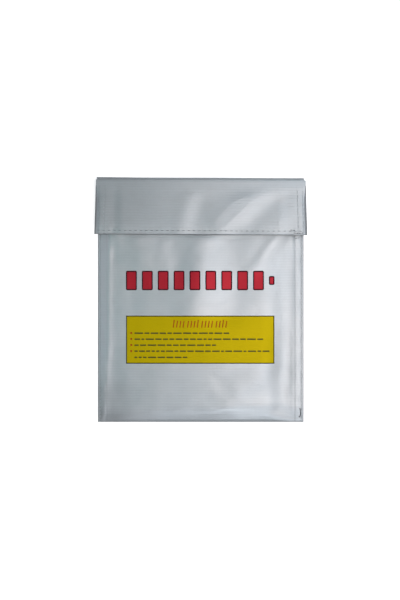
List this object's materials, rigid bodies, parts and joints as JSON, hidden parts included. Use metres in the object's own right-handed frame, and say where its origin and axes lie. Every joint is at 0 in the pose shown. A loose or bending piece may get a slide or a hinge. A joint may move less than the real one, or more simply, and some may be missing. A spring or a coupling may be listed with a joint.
{
  "type": "battery charging sack",
  "caption": "Flat sack of silver coated glass-fibre cloth, sewn down both sides, with a fold-over flap on hook and loop tape, that holds a battery pack while it charges.",
  "frame": {"origin": "middle of the sack's outline, on the surface that its back lies on", "axes": "+X across the width, to the right in the picture of the front; +Y from the bottom fold towards the flap's fold; +Z out of the printed front"},
  "size_m": [0.188, 0.217, 0.0126],
  "materials": {
    "coated_glass_cloth": "satin",
    "glass_cloth_lining": "matte",
    "hook_tape_nylon": "satin",
    "loop_tape_nylon": "matte",
    "sewing_thread": "satin",
    "print_film_red": "satin",
    "print_film_yellow": "satin"
  },
  "bodies": {
    "pouch": {"back_panel": "coated_glass_cloth", "front_panel": "coated_glass_cloth", "back_liner": "glass_cloth_lining", "front_liner": "glass_cloth_lining", "left_seam_allowance": "coated_glass_cloth", "right_seam_allowance": "coated_glass_cloth", "mouth_hem": "coated_glass_cloth", "hook_tape": "hook_tape_nylon", "gauge_print": "print_film_red", "notice_print": "print_film_yellow", "left_seam_thread": "sewing_thread", "right_seam_thread": "sewing_thread", "hook_tape_lower_thread": "sewing_thread", "hook_tape_upper_thread": "sewing_thread", "mouth_hem_thread": "sewing_thread", "right_mouth_backtack": "sewing_thread", "corner_thread_tail": "sewing_thread"},
    "flap": {"flap_panel": "coated_glass_cloth", "flap_left_hem": "coated_glass_cloth", "flap_right_hem": "coated_glass_cloth", "flap_bottom_hem": "coated_glass_cloth", "loop_tape": "loop_tape_nylon", "loop_tape_lower_thread": "sewing_thread", "loop_tape_upper_thread": "sewing_thread", "flap_left_outer_thread": "sewing_thread", "flap_left_inner_thread": "sewing_thread", "flap_right_outer_thread": "sewing_thread", "flap_right_inner_thread": "sewing_thread", "flap_bottom_thread": "sewing_thread", "flap_corner_backtack": "sewing_thread"}
  },
  "joints": [
    {"name": "flap_hinge", "type": "hinge", "parent": "pouch", "child": "flap", "pos_m": [0, 0.10905, 0.00615], "axis": [-1, 0, 0], "range_deg": [0, 180]}
  ]
}
